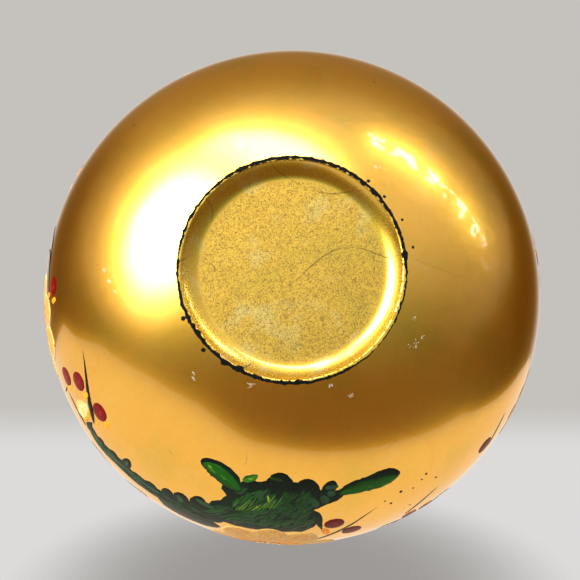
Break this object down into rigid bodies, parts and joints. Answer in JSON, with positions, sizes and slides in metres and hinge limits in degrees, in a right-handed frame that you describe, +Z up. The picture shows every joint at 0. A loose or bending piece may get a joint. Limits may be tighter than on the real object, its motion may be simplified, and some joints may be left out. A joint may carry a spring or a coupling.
{
  "type": "painted wooden bowl",
  "caption": "Round turned wooden serving bowl on a recessed foot ring, gold lacquered inside and out, with a painted garland of leaves, berries and cream flowers.",
  "frame": {"origin": "centre of the foot, on the surface that the bowl stands on", "axes": "+Z up along the turning axis, out of the bowl's mouth; the low painted spray faces +X -Y"},
  "size_m": [0.2504, 0.2499, 0.11],
  "materials": {
    "lime_wood": "raw turned lime wood, sealed under the coats",
    "bare_black_ground": "worn black ground, matt",
    "black_ground": "hard black ground",
    "gold_lacquer": "metallic gold under clear glossy varnish",
    "lip_paint": "black oil paint under clear glossy varnish",
    "cream_paint": "cream oil paint under varnish",
    "ochre_paint": "ochre oil paint under varnish",
    "green_paint": "dark green oil paint under varnish",
    "light_green_paint": "light green oil paint under varnish",
    "red_paint": "cherry red oil paint under varnish",
    "orange_paint": "orange oil paint under varnish",
    "black_paint": "green-black oil paint under varnish"
  },
  "bodies": {
    "root": {"wood_core": "lime_wood", "foot_edge": "bare_black_ground", "ground_coat_outside": "black_ground", "ground_coat_recess": "black_ground", "ground_coat_inside": "black_ground", "gold_coat_outside": "gold_lacquer", "gold_coat_recess": "gold_lacquer", "gold_coat_inside": "gold_lacquer", "lip_band": "lip_paint", "flower_petals": "cream_paint", "flower_eyes": "ochre_paint", "garland_leaves": "green_paint", "leaf_highlights": "light_green_paint", "berries": "red_paint", "berry_crescents": "orange_paint", "stems": "black_paint"}
  },
  "joints": []
}
